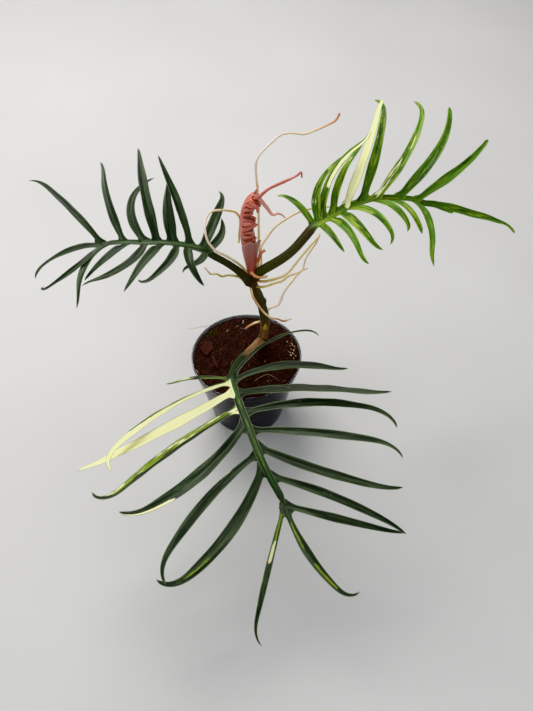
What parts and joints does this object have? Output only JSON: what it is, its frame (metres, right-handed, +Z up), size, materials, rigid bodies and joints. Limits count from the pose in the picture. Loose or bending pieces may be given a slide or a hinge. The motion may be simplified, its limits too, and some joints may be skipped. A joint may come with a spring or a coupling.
{
  "type": "potted philodendron tortum aurea",
  "caption": "Climbing aroid house plant in a small nursery pot, with deeply comb-cut green and cream leaves, thin aerial roots and a crumpled new leaf opening at the top.",
  "frame": {"origin": "middle of the flat underside of the pot, on the surface it stands on", "axes": "+Z up along the pot's axis, +X to the side where the right leaf reaches, -Y to the side where the front leaf hangs"},
  "size_m": [0.4421, 0.388, 0.3174],
  "materials": {
    "pot": "thin clear plastic with a light smoke tint, glossy",
    "soil": "wet fibrous coir with crumbs",
    "bark": "rough dry bark",
    "stem": "satin, brown turning green, with leaf scars",
    "bract": "dry and papery, with fine lines along it",
    "leaf_front": "satin, dark green with a lime rib",
    "leaf_left": "satin, grey-green with a lime rib",
    "leaf_right": "satin, bright green with lime and white streaks",
    "leaf_cream": "satin cream, the uncoloured part of a leaf",
    "sheath": "thin and satin, mauve-pink",
    "new_leaf": "glossy, wet-looking pink and orange-brown",
    "root": "matt, cream to peach"
  },
  "bodies": {
    "root": {"pot": "pot", "soil": "soil", "bark_chip": "bark", "bark_splinter_1": "bark", "bark_splinter_2": "bark", "stem": "stem", "dry_bract": "bract", "front_leaf": "leaf_front", "front_leaf_cream_1": "leaf_cream", "front_leaf_cream_2": "leaf_cream", "left_leaf": "leaf_left", "right_leaf": "leaf_right", "right_leaf_cream": "leaf_cream", "new_leaf_sheath": "sheath", "new_leaf": "new_leaf", "root_left_loop": "root", "root_left_wavy": "root", "root_tall": "root", "root_right_high": "root", "root_right_low": "root", "root_right_long": "root", "root_right_short": "root", "root_over_stem": "root", "root_stub_top": "root", "root_stub_sheath": "root", "root_stub_soil": "root"}
  },
  "joints": []
}
